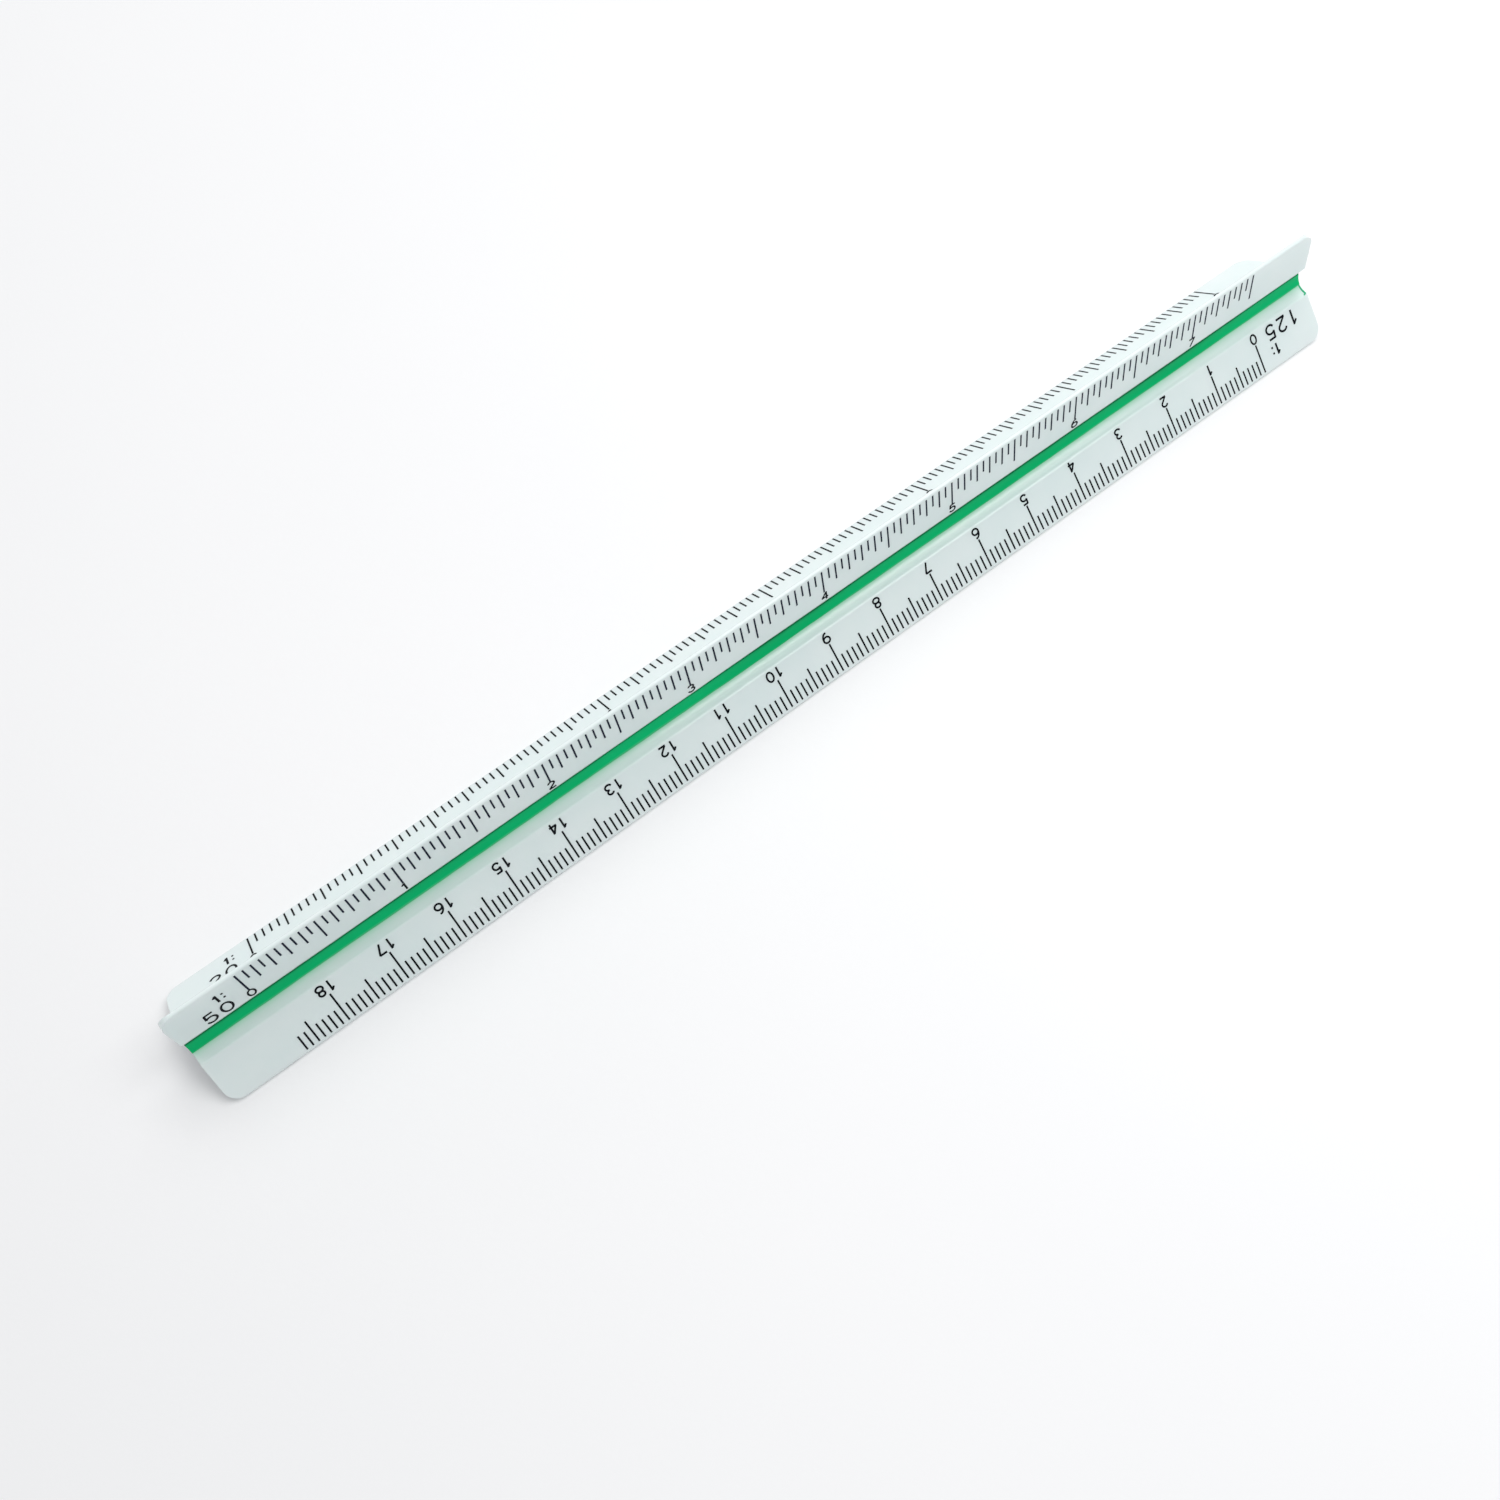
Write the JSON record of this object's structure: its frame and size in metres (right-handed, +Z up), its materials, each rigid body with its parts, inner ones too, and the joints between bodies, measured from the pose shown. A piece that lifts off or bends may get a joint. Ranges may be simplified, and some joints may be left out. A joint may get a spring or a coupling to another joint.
{
  "type": "triangular scale ruler",
  "caption": "Triangular plastic scale ruler with a fluted star section, printed metric ratio scales on every facet and a coloured fill in each groove.",
  "frame": {"origin": "middle of the ruler's length and width, on the plane it rests on", "axes": "+X along the ruler, towards the end where the 1:125 scale has its zero; +Z up, away from the side it rests on; +Y to the side that carries the 1:20 scale"},
  "size_m": [0.17, 0.0158, 0.0138],
  "materials": {
    "white_plastic": "glossy",
    "green_fill": "glossy",
    "red_fill": "glossy",
    "blue_fill": "glossy",
    "black_ink": "satin"
  },
  "bodies": {
    "root": {"ruler_body": "white_plastic", "groove_fill_green": "green_fill", "groove_fill_red": "red_fill", "groove_fill_blue": "blue_fill", "lines_1_125": "black_ink", "lines_1_50": "black_ink", "lines_1_20": "black_ink", "lines_1_100": "black_ink", "lines_1_25": "black_ink", "lines_1_75": "black_ink", "numerals_1_125": "black_ink", "numerals_1_50": "black_ink", "numerals_1_20": "black_ink", "numerals_1_100": "black_ink", "numerals_1_25": "black_ink", "numerals_1_75": "black_ink"}
  },
  "joints": []
}
